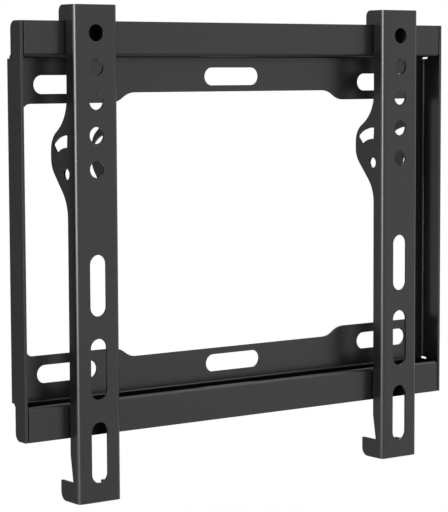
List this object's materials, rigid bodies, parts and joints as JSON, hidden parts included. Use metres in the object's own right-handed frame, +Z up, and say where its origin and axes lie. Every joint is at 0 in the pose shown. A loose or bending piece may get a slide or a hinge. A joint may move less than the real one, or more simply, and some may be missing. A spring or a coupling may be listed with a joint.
{
  "type": "fixed tv wall bracket",
  "caption": "Fixed wall bracket for a flat television: a folded steel wall plate with slotted rails, and slotted channel arms that hook over its top lip.",
  "frame": {"origin": "on the wall plane, at the middle of the wall plate", "axes": "+X to the right as seen from the room, +Y into the wall, +Z up"},
  "size_m": [0.2766, 0.0237, 0.251],
  "materials": {
    "powder_coat": "satin black powder coat with a fine grain"
  },
  "bodies": {
    "root": {"wall_plate": "powder_coat", "left_arm": "powder_coat", "right_arm": "powder_coat"}
  },
  "joints": []
}
